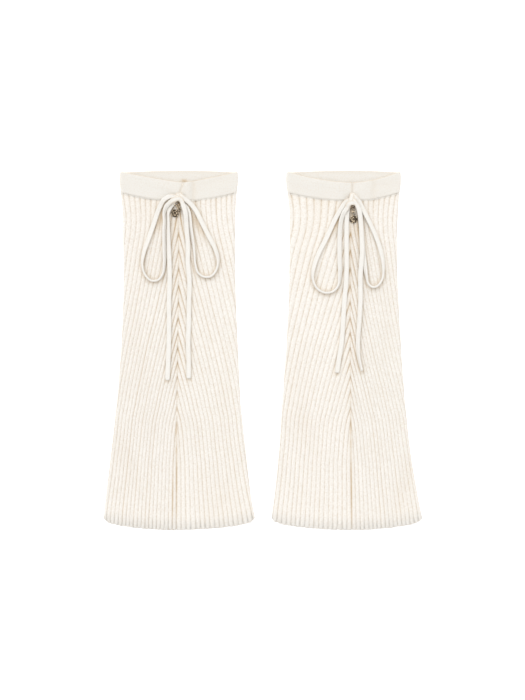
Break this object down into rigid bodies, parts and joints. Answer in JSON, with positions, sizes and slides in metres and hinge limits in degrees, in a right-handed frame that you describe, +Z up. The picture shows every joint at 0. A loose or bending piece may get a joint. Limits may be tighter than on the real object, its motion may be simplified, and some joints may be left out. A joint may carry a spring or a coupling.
{
  "type": "pair of leg warmers",
  "caption": "Pair of flared rib-knit leg warmers laid flat, each with a folded plain band, a drawstring tied in a bow over its front seam and a small brass charm on the knot.",
  "frame": {"origin": "middle of the pair's underside, on the surface that it lies on, measured without the drawstrings", "axes": "+X to the right and +Y towards the bands as the pair is seen from above, +Z up from the surface"},
  "size_m": [0.375, 0.4226, 0.0135],
  "materials": {
    "rib_knit": "matt cream rib knit",
    "plain_knit": "matt cream plain knit",
    "cord_knit": "matt off-white flat tubular knit",
    "antique_brass": "dark antique, worn bright on raised edges"
  },
  "bodies": {
    "root": {"left_leg": "rib_knit", "left_band": "plain_knit", "left_knot": "cord_knit", "left_loop_left": "cord_knit", "left_loop_right": "cord_knit", "left_tail_left": "cord_knit", "left_tail_right": "cord_knit", "left_charm_ring": "antique_brass", "right_leg": "rib_knit", "right_band": "plain_knit", "right_knot": "cord_knit", "right_loop_left": "cord_knit", "right_loop_right": "cord_knit", "right_tail_left": "cord_knit", "right_tail_right": "cord_knit", "right_charm_ring": "antique_brass"},
    "left_charm": {"left_charm_link": "antique_brass", "left_charm_disc": "antique_brass"},
    "right_charm": {"right_charm_link": "antique_brass", "right_charm_disc": "antique_brass"}
  },
  "joints": [
    {"name": "left_charm_swing", "type": "hinge", "parent": "root", "child": "left_charm", "pos_m": [-0.10011, 0.16944, 0.0092], "axis": [-0.829, -0.5592, 0], "range_deg": [0, 90]},
    {"name": "right_charm_swing", "type": "hinge", "parent": "root", "child": "right_charm", "pos_m": [0.1054, 0.16626, 0.0092], "axis": [-0.9962, -0.0872, 0], "range_deg": [0, 90]}
  ]
}
